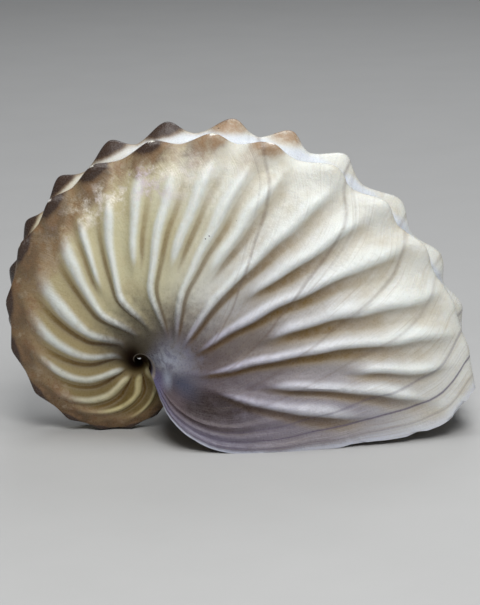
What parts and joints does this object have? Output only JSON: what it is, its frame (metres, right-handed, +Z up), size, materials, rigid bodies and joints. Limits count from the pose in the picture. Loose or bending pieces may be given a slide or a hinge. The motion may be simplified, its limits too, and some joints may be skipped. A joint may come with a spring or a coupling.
{
  "type": "paper nautilus shell",
  "caption": "Thin coiled shell with radiating ribs on its flat sides and rows of tubercles along a broad keel, open below along a wide mouth, standing on its lip and spire.",
  "frame": {"origin": "on the table under the middle of the shell's bounding box, as it stands on both sides of its lip and on the spire", "axes": "+X from the spire to the lip at the keel, +Y across the shell, +Z up"},
  "size_m": [0.0804, 0.035, 0.053],
  "materials": {
    "shell": "satin ivory calcite, brown on the keel's early tubercles"
  },
  "bodies": {
    "root": {"shell": "shell"}
  },
  "joints": []
}
